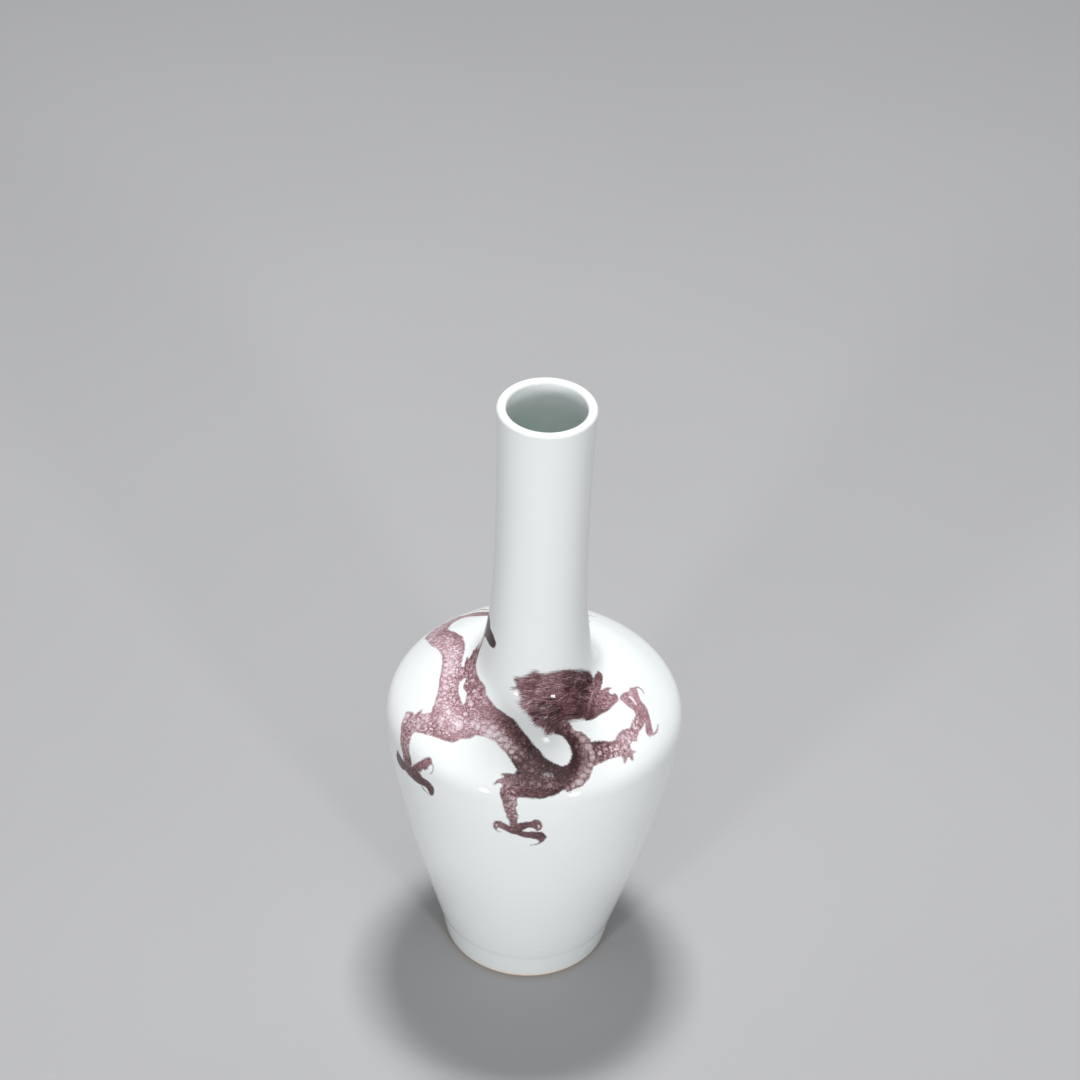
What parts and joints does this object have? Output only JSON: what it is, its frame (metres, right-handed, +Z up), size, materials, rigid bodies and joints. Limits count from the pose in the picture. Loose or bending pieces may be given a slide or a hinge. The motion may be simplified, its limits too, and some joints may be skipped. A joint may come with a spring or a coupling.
{
  "type": "long-necked porcelain vase",
  "caption": "Tall-necked porcelain vase with a broad rounded shoulder and tapering body, white glaze with an underglaze red dragon on the shoulder.",
  "frame": {"origin": "centre of the foot ring's contact plane, on the vase's axis", "axes": "+Z up along the vase's axis towards the mouth; the painted dragon's middle faces -Y"},
  "size_m": [0.092, 0.092, 0.21],
  "materials": {
    "white_glaze": "glossy, slightly cool white porcelain glaze",
    "underglaze_red": "glossy white porcelain glaze over a copper-red painted dragon",
    "biscuit_foot": "glazed outside and inside the ring, bare fired porcelain on the contact face with a warm flash",
    "fired_slip": "matt fired slip"
  },
  "bodies": {
    "root": {"foot_ring": "biscuit_foot", "lower_body": "white_glaze", "belly_luting_slip": "fired_slip", "shoulder": "underglaze_red", "neck_luting_slip": "fired_slip", "neck": "white_glaze"}
  },
  "joints": []
}
